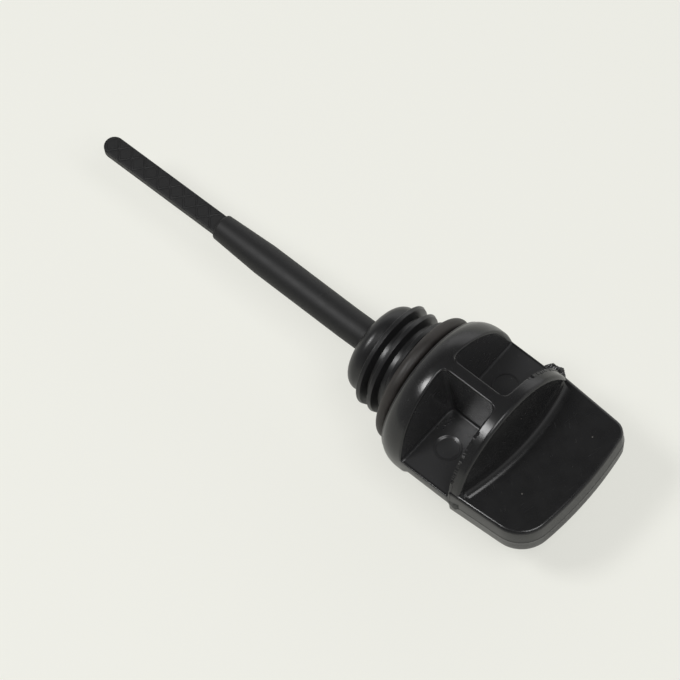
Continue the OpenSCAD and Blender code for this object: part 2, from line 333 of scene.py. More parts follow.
def turned_body(s, st):
    """Stem, plug, neck, flanges and dome"""
    stem_r, front_r = s.stem_d / 2, s.stem_front_d / 2
    bevel, fillet, chamfer = 0.4 * MM, 1.2 * MM, 0.25 * MM
    ring_step = 5 * MM
    front_steps, rim_steps = 60, 12
    profile = [(st.shoulder_x, front_r - bevel * 2)]
    profile += arc(st.shoulder_x + bevel, front_r - bevel, bevel, 180, 90, 5)
    profile += [(st.shoulder_x + s.stem_taper_len, stem_r)]
    profile += [(st.nose_x - fillet - k * ring_step, stem_r) for k in (3, 2, 1)]
    profile += arc(st.nose_x - fillet, stem_r + fillet, fillet, -90, 0, 8)
    profile += nose_line(s, st)
    profile += [(-st.neck_len - TINY, st.root_r), (-st.neck_len, st.neck_r - chamfer),
                (-st.neck_len + chamfer, st.neck_r), (-chamfer, st.neck_r),
                (0, st.neck_r + chamfer)]
    corner_r = st.flange_r - s.big_flange_round
    for k in range(front_steps + 1):
        turn = 180 - 90 * k / front_steps
        bump = RIDGE_RISE * math.exp(-((turn - RIDGE_TURN) / RIDGE_SPREAD) ** 2)
        x, r = arc(s.big_flange_round, corner_r, s.big_flange_round + bump, turn, turn, 1)[0]
        profile.append((x * FRONT_STRETCH, r))
    start = s.big_flange_round * FRONT_STRETCH
    profile += [(start + (st.rim_x1 - start) * k / rim_steps, st.flange_r)
                for k in range(1, rim_steps)]
    edge, ball, middle = dome_shape(s, st)
    profile += arc(st.rim_x1, edge, s.small_flange_round, 90, 0, 8)
    profile += arc(middle, 0, ball, math.degrees(math.asin(edge / ball)), 1, 24)[1:]
    return turned("turned_body", profile, s.segments)


def rounding(depth, radius):
    """How far a rounded edge stands back at a depth below the corner it replaces"""
    left = max(0.0, min(radius, radius - depth))
    return radius - math.sqrt(radius ** 2 - left ** 2)


def pocket_floor_line(s, st):
    """The pocket's floor across the cap as (y, z): over the rib's edge, down its side, out past the drum"""
    r, edge, fillet = st.flange_r, s.pocket_mouth, s.pocket_floor
    y_top, z_floor = s.rib_t / 2, s.web_t / 2
    crown = math.sqrt(r ** 2 - y_top ** 2)
    y_foot = y_top + s.rib_draft
    y_end = math.sqrt(r ** 2 - z_floor ** 2)
    # roundings over the rib's crown and at the web's outer edge
    brow, lip = 0.55 * edge, 0.4 * edge
    above = 0.02 * MM
    side_steps, floor_steps = 12, 16
    line = [(y_top - brow, crown + above)]
    line += [(y_top - brow + brow * math.sin(a), crown - brow + brow * math.cos(a)) for a in QUARTER[1:]]
    line += [(y_top + s.rib_draft * k / side_steps,
              crown - brow - (crown - brow - z_floor - fillet) * k / side_steps)
             for k in range(1, side_steps)]
    line += arc(y_foot + fillet, z_floor + fillet, fillet, 180, 270, 6)
    line += [(y_foot + fillet + (y_end - lip - y_foot - fillet) * k / floor_steps, z_floor)
             for k in range(1, floor_steps)]
    line += arc(y_end - lip, z_floor - lip, lip, 90, 5, 6)
    return line + [(r + MM, line[-1][1])]


def pocket(s, st, side, level):
    """Cutter for one pocket: leaning wall, rounded corners, filleted foot and rounded mouth"""
    r, edge, fillet, corner = st.flange_r, s.pocket_mouth, s.pocket_floor, s.pocket_corner
    lean = math.tan(s.pocket_draft)
    y_top, z_floor = s.rib_t / 2, s.web_t / 2
    crown = math.sqrt(r ** 2 - y_top ** 2)
    # depths of the mouth's rounding below the drum, and two rows outside it that flare
    depths = [edge * (1 - math.sin(a)) for a in QUARTER] + [-0.4 * MM, -2 * MM]
    flare = 0.5
    rings = []
    for y, z_low in pocket_floor_line(s, st):
        foot = [z_low + fillet * (1 - math.cos(a)) for a in QUARTER]
        wall = [math.sqrt(max(0, (r - depth) ** 2 - y ** 2)) for depth in depths]
        between = [foot[-1] + (wall[0] - foot[-1]) * k / 10 for k in range(1, 10)]
        heights = []
        for z in foot + between + wall:
            heights.append(max(z, z_low, heights[-1] if heights else z_low))
        left, right = [], []
        for z in heights:
            depth = r - math.hypot(y, z)
            rib_side = y_top + s.rib_draft * (crown - z) / (crown - z_floor)
            inset = rounding(max(0, y - rib_side), corner) + rounding(z - z_low, fillet)
            inset -= rounding(max(depth, 0), edge) + max(0, -depth) * flare
            left.append((st.pocket_x0 - (z - z_floor) * lean + inset, z))
            right.append((st.pocket_x1 - inset, z))
        outline = left[::-1] + right
        rings.append([(x, side * y, level * z) for x, z in outline])
    return loft("pocket", rings)


def handle_side(s, st, corner, inset, n=10):
    """The far half of the handle's outline, from its root to the tip on the axis"""
    slope = s.handle_taper / 2 / s.handle_len
    lean = math.atan(slope)
    centre_x = st.end_x - s.handle_end_r
    # middle of the corner's circle, which touches the side and the curved end
    cx = st.end_x - corner
    for _ in range(8):
        cy = s.handle_w / 2 - slope * (cx - st.rim_x1) - corner / math.cos(lean)
        cx = centre_x + math.sqrt((s.handle_end_r - corner) ** 2 - cy ** 2)
    end_angle = math.degrees(math.atan2(cy, cx - centre_x))
    start_x = st.pocket_x1 + 0.5 * MM
    start_y = s.handle_w / 2 - slope * (start_x - st.rim_x1) - inset / math.cos(lean)
    outline = [(start_x, start_y)]
    outline += arc(cx, cy, corner - inset, 90 - math.degrees(lean), end_angle, n)
    outline += arc(centre_x, 0, s.handle_end_r - inset, end_angle, 0, 12)[1:]
    return outline


def handle_outline(s, st, inset):
    """Outline of the handle's plan, drawn in by an inset"""
    far = handle_side(s, st, s.handle_corner_far, inset)
    near = handle_side(s, st, s.handle_corner_near, inset)
    return far + [(x, -y) for x, y in reversed(near[:-1])]


def handle(s, st):
    """Flat finger plate that narrows from the parting line to rounded edges"""
    half = s.handle_t / 2
    ridge_h, ridge_inset = 0.08 * MM, 0.05 * MM
    layers = [(0, 0), (ridge_h, ridge_inset)]
    layers += [(half * k / 5, ridge_inset + (s.handle_draft - ridge_inset) * k / 5) for k in (1, 2, 3)]
    layers += [(half - s.handle_edge * (1 - math.sin(a)), s.handle_draft + s.handle_edge * (1 - math.cos(a)))
               for a in QUARTER]
    rings = []
    for z, inset in [(-z, i) for z, i in reversed(layers[1:])] + layers:
        rings.append([(x, y, z) for x, y in handle_outline(s, st, inset)])
    return loft("handle", rings)


def root_fillet(s, st, level):
    """Hollow fillet where the domed face meets the handle's face"""
    r, face, n = s.root_radius, s.handle_t / 2, 48
    sunk, short, skin, seam = 0.3 * MM, 0.3 * MM, 0.02 * MM, 0.005 * MM
    reach = math.sqrt((st.flange_r - s.small_flange_round) ** 2 - face ** 2) - short
    rings = []
    for k in range(n + 1):
        y = reach * (2 * k / n - 1)
        back = dome_x(s, st, math.hypot(y, face))
        top_back = dome_x(s, st, math.hypot(y, face + r))
        section = [(back - MM, face - sunk), (back + r, face - sunk)]
        section += [(back + r - r * math.sin(a), face + r - r * math.cos(a))
                    for a in [math.radians(10 * j) for j in range(9)]]
        section += [(top_back - skin, face + r), (back - MM, face + r)]
        rings.append([(x, y, level * (z - seam)) for x, z in section])
    return loft("root_fillet", rings)


def hatch_tree():
    """Node tree that lays a row of slanted bars along one face of the blade"""
    tree = bpy.data.node_groups.new("blade_hatch", "GeometryNodeTree")
    tree.interface.new_socket("Geometry", in_out="INPUT", socket_type="NodeSocketGeometry")
    for name in ("Length", "Step", "Width", "Reach", "Angle", "Height", "Depth"):
        tree.interface.new_socket(name, in_out="INPUT", socket_type="NodeSocketFloat")
    tree.interface.new_socket("Material", in_out="INPUT", socket_type="NodeSocketMaterial")
    tree.interface.new_socket("Geometry", in_out="OUTPUT", socket_type="NodeSocketGeometry")
    given = add_node(tree, "NodeGroupInput").outputs

    def vector(x, y, z):
        """Output of a node that joins three numbers or sockets"""
        return add_node(tree, "ShaderNodeCombineXYZ", {0: x, 1: y, 2: z}).outputs[0]

    count = calc(tree, "ADD", calc(tree, "FLOOR", calc(tree, "DIVIDE", given["Length"], given["Step"])), 1)
    line = add_node(tree, "GeometryNodeMeshLine", {"Count": count, "Offset": vector(given["Step"], 0, 0)})
    # a round bar whose radius gives the groove its width and depth, lying along X
    square = calc(tree, "ADD", calc(tree, "POWER", calc(tree, "MULTIPLY", given["Width"], 0.5), 2),
                  calc(tree, "POWER", given["Depth"], 2))
    radius = calc(tree, "DIVIDE", square, calc(tree, "MULTIPLY", given["Depth"], 2))
    rod = add_node(tree, "GeometryNodeMeshCylinder", {
        "Vertices": 32, "Radius": radius, "Depth": given["Reach"]})
    bar = add_node(tree, "GeometryNodeTransform", {
        "Geometry": rod.outputs["Mesh"], "Rotation": (0, math.pi / 2, 0)})
    rise = calc(tree, "MULTIPLY", calc(tree, "SIGN", given["Height"]),
                calc(tree, "SUBTRACT", radius, given["Depth"]))
    lift = add_node(tree, "GeometryNodeSetPosition", {
        "Geometry": line.outputs["Mesh"], "Offset": vector(0, 0, calc(tree, "ADD", given["Height"], rise))})
    bars = add_node(tree, "GeometryNodeInstanceOnPoints", {
        "Points": lift.outputs["Geometry"], "Instance": bar.outputs["Geometry"],
        "Rotation": vector(0, 0, given["Angle"])})
    solid = add_node(tree, "GeometryNodeRealizeInstances", {"Geometry": bars.outputs["Instances"]})
    paint = add_node(tree, "GeometryNodeSetMaterial", {
        "Geometry": solid.outputs["Geometry"], "Material": given["Material"]})
    add_node(tree, "NodeGroupOutput", {"Geometry": paint.outputs["Geometry"]})
    return tree


def grown(name, tree, values):
    """Runs a node tree with the given inputs and keeps the result as a plain mesh"""
    carrier = bpy.data.objects.new(name, bpy.data.meshes.new(name))
    bpy.context.scene.collection.objects.link(carrier)
    modifier = carrier.modifiers.new(name, "NODES")
    modifier.node_group = tree
    for item in tree.interface.items_tree:
        if item.in_out == "INPUT" and item.name in values:
            modifier[item.identifier] = values[item.name]
    depsgraph = bpy.context.evaluated_depsgraph_get()
    mesh = bpy.data.meshes.new_from_object(carrier.evaluated_get(depsgraph))
    carrier.modifiers.remove(modifier)
    carrier.data = mesh
    return carrier


def blade(s, st, material):
    """Flat blade with a round tip and crossed grooves on both faces"""
    edge, r = 0.25 * MM, s.blade_w / 2
    half = s.blade_t / 2
    plain_end = 1.5 * MM
    back = st.shoulder_x + MM
    layers = [(half - edge * (1 - math.sin(a)), edge * (1 - math.cos(a)))
              for a in [math.radians(18 * k) for k in range(6)]]
    rings = []
    for z, inset in [(-z, i) for z, i in reversed(layers)] + layers:
        tip = arc(st.tip_x + r, 0, r - inset, 90, 270, 20)
        outline = [(back, r - inset)] + tip + [(back, -r + inset)]
        rings.append([(x, y, z) for x, y in outline])
    bar = loft("blade", rings)
    tree = hatch_tree()
    for face in (-1, 1):
        for way in (-1, 1):
            hatch = grown("hatch", tree, {
                "Length": s.blade_len - plain_end, "Step": s.hatch_step, "Width": s.hatch_w,
                "Reach": 2 * s.blade_w, "Angle": way * s.hatch_angle, "Height": face * half,
                "Depth": s.hatch_depth, "Material": material})
            hatch.data.transform(Matrix.Translation((st.tip_x, 0, 0)))
            combine(bar, hatch, "DIFFERENCE")
    bar.data.transform(Matrix.Translation((st.shoulder_x, 0, 0)) @ Matrix.Rotation(s.blade_bend, 4, "Z")
                       @ Matrix.Translation((-st.shoulder_x, 0, 0)))
    return bar


def thread(s, st):
    """Right-hand thread with a rounded crest that rises and runs out"""
    steps = 96
    n = round(s.thread_turns * steps)
    fade, toe = steps / 6, 0.1
    foot_front, foot_back, sunk = 1.1 * MM, 0.9 * MM, 0.5 * MM
    crest_front, crest_back = 0.50 * MM, 0.24 * MM
    # radius of the crest's brows, and how much lower the back one is
    brow, drop = 0.12 * MM, 0.2 * MM
    turns = [math.radians(25 + 13 * j) for j in range(6)]
    rings = []
    for k in range(n + 1):
        share = eased(min(1, toe + k / fade, toe + (n - k) / fade))
        a = s.thread_start + 2 * math.pi * k / steps
        x = st.nose_x + s.thread_lead + s.thread_pitch * k / steps
        top = st.root_r + s.thread_depth * share
        front = [(top - brow * share * (1 - math.sin(b)), -crest_front + brow * (1 - math.cos(b)))
                 for b in turns]
        back = [(top - drop * share - brow * share * (1 - math.sin(b)), crest_back - brow * (1 - math.cos(b)))
                for b in reversed(turns)]
        section = [(st.root_r - sunk, -foot_front)] + front + back + [(st.root_r - sunk, foot_back)]
        rings.append([(x + dx, r * math.cos(a), r * math.sin(a)) for r, dx in section])
    return loft("thread", rings)


def disc_stack(name, centre, level, layers, n=72):
    """A stack of discs, each given as (radius, height), pointing up or down from the web"""
    angles = [2 * math.pi * j / n for j in range(n)]
    rings = [[(centre[0] + r * math.cos(a), centre[1] + r * math.sin(a), level * z) for a in angles]
             for r, z in layers]
    return loft(name, rings)


def ejector_mark(s, st, side, level):
    """Cutter for the shallow stepped recess that one ejector pin left"""
    centre = (st.pocket_x0 + s.ejector_setback, side * s.ejector_offset)
    r, z = s.ejector_d / 2, s.web_t / 2
    # length of the recess's slope, and the ledge and the shallow step around it
    slope = 0.3 * MM if side < 0 else 0.08 * MM
    ledge, lift, step = 0.06 * MM, 0.004 * MM, 0.1 * MM
    layers = [(r - slope * (1 - k / 3), z - s.ejector_depth * (1 - k / 3)) for k in range(4)]
    layers += [(r + ledge + 0.75 * slope * k / 3, z + lift + step * k / 3) for k in range(4)]
    return disc_stack("ejector_mark", centre, level, layers + [(layers[-1][0], z + MM / 2)])


def ejector_burr(s, st, side, level):
    """Low ring of plastic that was squeezed up around an ejector pin"""
    centre = (st.pocket_x0 + s.ejector_setback, side * s.ejector_offset)
    r, z = s.ejector_d / 2 + 0.3 * MM, s.web_t / 2
    foot, sunk, rise, brow = 0.04 * MM, 0.3 * MM, 0.08 * MM, 0.1 * MM
    layers = ((r + foot, z - sunk), (r + foot, z), (r, z + rise), (r - brow, z + rise))
    return disc_stack("ejector_burr", centre, level, layers)


def rough_patch(s, st):
    """Small lumps at the foot of the near upper pocket's front wall, as solids one by one"""
    rng = np.random.default_rng(11)
    z = s.web_t / 2
    for k in range(14):
        x = st.pocket_x0 + (0.35 + 1.3 * rng.random()) * MM
        y = -(1.9 + 4.4 * (k + rng.random()) / 14) * MM
        r = (0.12 + 0.16 * rng.random()) * MM
        rise = (0.05 + 0.08 * rng.random()) * MM
        layers = ((r, z - 0.2 * MM), (r, z), (0.8 * r, z + 0.6 * rise), (0.35 * r, z + rise))
        yield disc_stack("lump", (x, y), 1, layers, 14)


def swept_around(name, x, sections, side, start, end):
    """A strip along the drum's surface from one angle above the parting line to another"""
    rings = []
    for k, section in enumerate(sections):
        a = math.radians(start + (end - start) * k / (len(sections) - 1))
        rings.append([(x + dx, side * r * math.cos(a), r * math.sin(a)) for dx, r in section])
    return loft(name, rings)


def flash_lip(st, side, start, end, seed):
    """Ragged lip of flash along the small flange's edge at a pocket's mouth"""
    rng = np.random.default_rng(seed)
    r, sections = st.flange_r, []
    sunk, foot = 0.5 * MM, 0.12 * MM
    for _ in range(90):
        rise = (0.02 + 0.16 * rng.random() ** 2) * MM
        shift = 0.12 * MM * (rng.random() - 0.5)
        width = (0.35 + 0.35 * rng.random()) * MM
        sections.append([(shift, r - sunk), (shift, r + rise),
                         (width, r + 0.5 * rise), (width + foot, r - sunk)])
    return swept_around("flash_lip", st.pocket_x1 + foot, sections, side, start, end)


def rim_crack(st):
    """Cutter for the thin crack across the small flange's rim, on the near side above the parting line"""
    rng = np.random.default_rng(3)
    r, half, depth, over = st.flange_r, 0.07 * MM, 0.22 * MM, 0.6 * MM
    sections = []
    for _ in range(30):
        sway = 0.05 * MM * (rng.random() - 0.5)
        sections.append([(sway, r - depth), (sway + half, r + over), (sway - half, r + over)])
    return swept_around("rim_crack", st.pocket_x1 + 0.8 * MM, sections, -1, 1.5, 21)


def gate_stub(s, st):
    """Torn stub of the gate: a steep front, a ragged shelf with one peak and a falling back"""
    rng = np.random.default_rng(7)
    n, r, sunk = 44, st.flange_r, 0.6 * MM
    # shares of the stub's width where the front ends, the peak stands and the back starts
    front_end, peak_at, peak_w, back_start = 0.28, 0.63, 0.09, 0.72
    rings = []
    for k in range(n + 1):
        t = k / n
        x = st.gate_x + s.gate_w * (t - 0.5)
        front = eased(min(1, t / front_end))
        peak = math.exp(-((t - peak_at) / peak_w) ** 2)
        back = max(0, (t - back_start) / (1 - back_start)) ** 1.4
        share = 0.8 * front + 0.19 * peak - 0.5 * back
        height = s.gate_h * share * (1 - 0.08 * rng.random()) + 0.02 * MM
        half = s.gate_t / 2 * (0.6 + 0.4 * front)
        sway = 0.3 * MM * (rng.random() - 0.5)
        fold = 0.22 * MM * rng.random()
        section = ((-sunk, -half), (-sunk, half), (0, half * 0.95), (height * 0.45, half * 0.7 - fold),
                   (height * 0.7, half * 0.75 + sway * 0.4), (height, half * 0.3 + sway),
                   (height * 0.9, -half * 0.2 + sway), (height * 0.5, -half * 0.5), (0, -half * 0.95))
        rings.append([(x, r + out, z) for out, z in section])
    return loft("gate_stub", rings)


def flash(s, st):
    """Wedge of flash along the parting line, opposite the gate"""
    x0, x1 = st.pocket_x1 - 0.3 * MM, st.rim_x1 + 0.8 * MM
    r, half, n = st.flange_r, 1.0 * MM, 24
    sunk, foot, tip = 0.5 * MM, 0.06 * MM, 0.06
    rings = []
    for k in range(n + 1):
        t = k / n
        height = s.flash_h * (0.15 + 0.85 * min(1, 1.4 * t) * (1 if t < 0.9 else (1 - t) / 0.1))
        section = ((-sunk, -half), (-sunk, half), (-foot, half), (height, half * tip),
                   (height, -half * tip), (-foot, -half))
        rings.append([(x0 + (x1 - x0) * t, -r - out, z) for out, z in section])
    return loft("flash", rings)


def sag(obj, s, st):
    """Shifts the stem and the blade a little to the near side, as they cooled"""
    lead, run = 0.5 * MM, 5 * MM
    for vertex in obj.data.vertices:
        share = min(1, max(0, (st.nose_x + lead - vertex.co.x) / run))
        vertex.co.y -= s.stem_sag * eased(share)


def place(obj, st):
    """Moves a drawing into the frame and leaves the object at the origin"""
    obj.data.transform(Matrix.Translation(st.seat))
    obj.data.update()


def smooth(obj, angle):
    """Smooth shading with edges sharper than the angle kept and large faces left flat"""
    mesh = obj.data
    mesh.shade_smooth()
    mesh.set_sharp_from_angle(angle=math.radians(angle))
    modifier = obj.modifiers.new("weigh", "WEIGHTED_NORMAL")
    modifier.keep_sharp = True
    modifier.weight = 100
    depsgraph = bpy.context.evaluated_depsgraph_get()
    obj.data = bpy.data.meshes.new_from_object(obj.evaluated_get(depsgraph))
    obj.modifiers.remove(modifier)
    obj.data.name = obj.name


def add_node(tree, kind, inputs=None, **options):
    """A node with its options, and with each input either linked or set to a value"""
    made = tree.nodes.new(kind)
    for key, value in options.items():
        setattr(made, key, value)
    for key, value in (inputs or {}).items():
        if isinstance(value, bpy.types.NodeSocket):
            tree.links.new(value, made.inputs[key])
        else:
            made.inputs[key].default_value = value
    return made


def calc(tree, operation, *values, clamp=False):
    """Output of a math node over values or sockets"""
    inputs = dict(enumerate(values))
    return add_node(tree, "ShaderNodeMath", inputs, operation=operation, use_clamp=clamp).outputs[0]


def remap(tree, value, low, high, start=0.0, end=1.0):
    """A smooth step of a value from one range to another"""
    inputs = {"Value": value, "From Min": low, "From Max": high, "To Min": start, "To Max": end}
    return add_node(tree, "ShaderNodeMapRange", inputs, interpolation_type="SMOOTHSTEP").outputs["Result"]


def effect_group(name, inputs, output):
    """An empty shader group with a Vector input, the named inputs and one output"""
    tree = bpy.data.node_groups.new(name, "ShaderNodeTree")
    tree.interface.new_socket("Vector", in_out="INPUT", socket_type="NodeSocketVector")
    for label, value in inputs:
        tree.interface.new_socket(label, in_out="INPUT", socket_type="NodeSocketFloat").default_value = value
    tree.interface.new_socket(output, in_out="OUTPUT", socket_type="NodeSocketFloat")
    return tree, add_node(tree, "NodeGroupInput").outputs, add_node(tree, "NodeGroupOutput").inputs[output]


def noise(tree, vector, scale, detail):
    """Value of a noise texture"""
    inputs = {"Vector": vector, "Scale": scale, "Detail": detail}
    return add_node(tree, "ShaderNodeTexNoise", inputs).outputs[0]


def build_grain(name):
    """Height of a fine spark-eroded grain with a few deeper pits"""
    tree, given, result = effect_group(name, (("Size", 0.2 * MM), ("Pits", 0.4)), "Height")
    scale = calc(tree, "DIVIDE", 1.0, given["Size"])
    fine = noise(tree, given["Vector"], scale, 3.0)
    pits = add_node(tree, "ShaderNodeTexVoronoi", {
        "Vector": given["Vector"], "Scale": calc(tree, "MULTIPLY", scale, 0.6)})
    dip = calc(tree, "MULTIPLY", remap(tree, pits.outputs["Distance"], 0.0, 0.45), given["Pits"])
    tree.links.new(calc(tree, "ADD", fine, dip), result)
    return tree


def build_scratches(name):
    """Mask of fine curved scratches that run one way and come and go"""
    tree, given, result = effect_group(name, (("Size", 6 * MM), ("Turn", 0.5), ("Width", 0.004)), "Mask")
    turn = add_node(tree, "ShaderNodeCombineXYZ", {"Z": given["Turn"]}).outputs[0]
    turned_way = add_node(tree, "ShaderNodeVectorRotate", {"Vector": given["Vector"], "Rotation": turn},
                          rotation_type="EULER_XYZ").outputs[0]
    scale = calc(tree, "DIVIDE", 1.0, given["Size"])
    drawn = add_node(tree, "ShaderNodeVectorMath", {0: turned_way, 1: (1, 9, 9)}, operation="MULTIPLY")
    lines = noise(tree, drawn.outputs[0], scale, 1.0)
    off = calc(tree, "ABSOLUTE", calc(tree, "SUBTRACT", lines, 0.5))
    line = calc(tree, "SUBTRACT", 1.0, calc(tree, "DIVIDE", off, given["Width"]), clamp=True)
    breaks = noise(tree, given["Vector"], calc(tree, "MULTIPLY", scale, 3.0), 2.0)
    tree.links.new(calc(tree, "MULTIPLY", line, remap(tree, breaks, 0.52, 0.64)), result)
    return tree


def build_dust(name):
    """Mask of scattered dust specks of uneven size"""
    tree, given, result = effect_group(name, (("Size", 1.5 * MM), ("Amount", 0.1)), "Mask")
    cells = add_node(tree, "ShaderNodeTexVoronoi", {
        "Vector": given["Vector"], "Scale": calc(tree, "DIVIDE", 1.0, given["Size"])})
    chance = add_node(tree, "ShaderNodeSeparateColor", {"Color": cells.outputs["Color"]}).outputs
    kept = calc(tree, "LESS_THAN", chance["Red"], given["Amount"])
    radius = calc(tree, "MULTIPLY_ADD", chance["Green"], 0.09, 0.03)
    speck = calc(tree, "SUBTRACT", 1.0, calc(tree, "DIVIDE", cells.outputs["Distance"], radius), clamp=True)
    tree.links.new(calc(tree, "MULTIPLY", kept, calc(tree, "MULTIPLY", speck, 3.0, clamp=True)), result)
    return tree


def build_bloom(name):
    """Value that wanders slowly over the surface, for uneven gloss and haze"""
    tree, given, result = effect_group(name, (("Size", 8 * MM),), "Value")
    wander = noise(tree, given["Vector"], calc(tree, "DIVIDE", 1.0, given["Size"]), 4.0)
    tree.links.new(remap(tree, wander, 0.3, 0.7), result)
    return tree


# Surface effects by the name of their shader group
EFFECTS = {"grain": build_grain, "scratches": build_scratches,
           "dust_specks": build_dust, "bloom": build_bloom}


def effect(tree, name, vector, **values):
    """Places a shared group in a material, built the first time it is asked for, and gives back its output"""
    group = bpy.data.node_groups.get(name) or EFFECTS[name](name)
    return add_node(tree, "ShaderNodeGroup", {"Vector": vector, **values}, node_tree=group).outputs[0]


def mix_colour(tree, share, first, second):
    """Mixes two colours by a share"""
    inputs = {0: share, 6: first, 7: second}
    return add_node(tree, "ShaderNodeMix", inputs, data_type="RGBA").outputs[2]


def new_material(name):
    """A material with its node tree and its Principled shader"""
    mat = bpy.data.materials.new(name)
    mat.use_nodes = True
    return mat, mat.node_tree, mat.node_tree.nodes["Principled BSDF"]


def moulded_plastic(st, colours):
    """Black plastic: glossy on the head, duller on the plug and matt on the spark-eroded stem, with painted
    fill light that lightens the pockets
    """
    mat, tree, shader = new_material("moulded_plastic")
    where = add_node(tree, "ShaderNodeTexCoord").outputs["Object"]
    split = add_node(tree, "ShaderNodeSeparateXYZ", {0: where}).outputs
    seat, along = st.seat, split["X"]
    nose, back = seat.x + st.nose_x, seat.x + st.pocket_x1
    stem = remap(tree, along, nose - MM, nose + MM, 1.0, 0.0)
    plug = remap(tree, along, seat.x - MM, seat.x + MM, 1.0, 0.0)

    bloom = effect(tree, "bloom", where, Size=7 * MM)
    haze = effect(tree, "bloom", where, Size=2.2 * MM)
    dust = effect(tree, "dust_specks", where, Size=2.4 * MM, Amount=0.13)
    scratch = calc(tree, "MAXIMUM",
                   effect(tree, "scratches", where, Size=9 * MM, Turn=1.9, Width=0.006),
                   effect(tree, "scratches", where, Size=7 * MM, Turn=0.6, Width=0.005))

    # how much each effect or region adds to the roughness
    rough = GLOSS_ROUGHNESS
    for mask, added in ((bloom, 0.03), (haze, 0.03), (plug, 0.10), (stem, 0.22), (scratch, 0.1), (dust, 0.4)):
        rough = calc(tree, "MULTIPLY_ADD", mask, added, rough)
    tree.links.new(rough, shader.inputs["Roughness"])

    # painted fill light: the pockets' hollows, which lie under the drum's surface and between the two
    # flanges, are painted lighter than the black to stand in for light that their shade keeps out
    off_axis = add_node(tree, "ShaderNodeCombineXYZ", {
        "Y": calc(tree, "SUBTRACT", split["Y"], seat.y), "Z": calc(tree, "SUBTRACT", split["Z"], seat.z)})
    radius = add_node(tree, "ShaderNodeVectorMath", {0: off_axis.outputs[0]}, operation="LENGTH")
    rim = st.flange_r
    pocket_fill_mask = remap(tree, radius.outputs["Value"], rim - 0.6 * MM, rim - 0.3 * MM, 1.0, 0.0)
    pocket_fill_mask = calc(tree, "MULTIPLY", pocket_fill_mask, remap(tree, along, seat.x + 3 * MM, seat.x + 3.4 * MM))
    pocket_fill_mask = calc(tree, "MULTIPLY", pocket_fill_mask, remap(tree, along, back - 0.1 * MM, back + 0.2 * MM, 1.0, 0.0))

    # the first colour is the haze's paler tone, the middle one, 2.7 times the black, is painted fill light
    # for the pockets, and the last is the stem's darker tone
    worn, painted_fill, deep = (tuple(share * c for c in colours.plastic) for share in (1.7, 2.7, 0.6))
    # what tints the black: a mask, its strength and the colour that it brings in; the pockets' entry paints
    # fill light, the others are the plastic's own haze, stem tone, scuffs and dust
    colour = (*colours.plastic, 1)
    for mask, strength, tint in ((haze, 0.25, worn), (pocket_fill_mask, 1.0, painted_fill), (stem, 1.0, deep),
                                 (scratch, 0.10, colours.scuff), (dust, 0.35, colours.dust)):
        colour = mix_colour(tree, calc(tree, "MULTIPLY", mask, strength), colour, (*tint, 1))
    tree.links.new(colour, shader.inputs["Base Color"])

    grain = effect(tree, "grain", where, Size=0.16 * MM, Pits=0.5)
    height = calc(tree, "MULTIPLY", grain, calc(tree, "MULTIPLY_ADD", stem, 1.1, 0.05))
    height = calc(tree, "ADD", height, calc(tree, "MULTIPLY", bloom, 1.2))
    height = calc(tree, "ADD", height, calc(tree, "MULTIPLY", scratch, -0.5))
    bump = add_node(tree, "ShaderNodeBump", {"Height": height, "Strength": 0.6, "Distance": 0.012 * MM})
    tree.links.new(bump.outputs[0], shader.inputs["Normal"])
    shader.inputs["IOR"].default_value = 1.5
    return mat


def seal_rubber(colours):
    """Brownish black rubber with a dull sheen and a little dust"""
    mat, tree, shader = new_material("seal_rubber")
    where = add_node(tree, "ShaderNodeTexCoord").outputs["Object"]
    haze = effect(tree, "bloom", where, Size=3 * MM)
    dust = effect(tree, "dust_specks", where, Size=1.2 * MM, Amount=0.12)
    pale = tuple(1.9 * c for c in colours.rubber)
    colour = mix_colour(tree, calc(tree, "MULTIPLY", haze, 0.6), (*colours.rubber, 1), (*pale, 1))
    colour = mix_colour(tree, calc(tree, "MULTIPLY", dust, 0.4), colour, (*colours.dust, 1))
    tree.links.new(colour, shader.inputs["Base Color"])
    tree.links.new(calc(tree, "MULTIPLY_ADD", haze, 0.12, 0.46), shader.inputs["Roughness"])
    grain = effect(tree, "grain", where, Size=0.12 * MM, Pits=0.3)
    bump = add_node(tree, "ShaderNodeBump", {"Height": grain, "Strength": 0.5, "Distance": 0.008 * MM})
    tree.links.new(bump.outputs[0], shader.inputs["Normal"])
    return mat


class CAP_OT_moulding(bpy.types.Operator):
    """Model the one-piece moulding: blade, stem, plug, thread, flanges, grip and handle"""

    bl_idname = "cap.moulding"
    bl_label = "Moulding"

    def execute(self, context):
        s, colours, st = settings()
        material = moulded_plastic(st, colours)
        body = turned_body(s, st)
        for side in (-1, 1):
            for level in (-1, 1):
                combine(body, pocket(s, st, side, level), "DIFFERENCE")
                combine(body, ejector_burr(s, st, side, level), "UNION")
                combine(body, ejector_mark(s, st, side, level), "DIFFERENCE")
        combine(body, handle(s, st), "UNION")
        for level in (-1, 1):
            combine(body, root_fillet(s, st, level), "UNION")
        for make in (thread, gate_stub, flash):
            combine(body, make(s, st), "UNION")
        for lump in rough_patch(s, st):
            combine(body, lump, "UNION")
        combine(body, flash_lip(st, -1, 22, 66, 5), "UNION")
        combine(body, flash_lip(st, 1, 14, 62, 9), "UNION")
        combine(body, rim_crack(st), "DIFFERENCE")
        combine(body, blade(s, st, material), "UNION")
        sag(body, s, st)
        body.name = body.data.name = "dipstick_cap_moulding"
        place(body, st)
        smooth(body, 34)
        body.data.materials.clear()
        body.data.materials.append(material)
        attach(body, BODY)
        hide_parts(MOULDING_NODE)
        return {"FINISHED"}


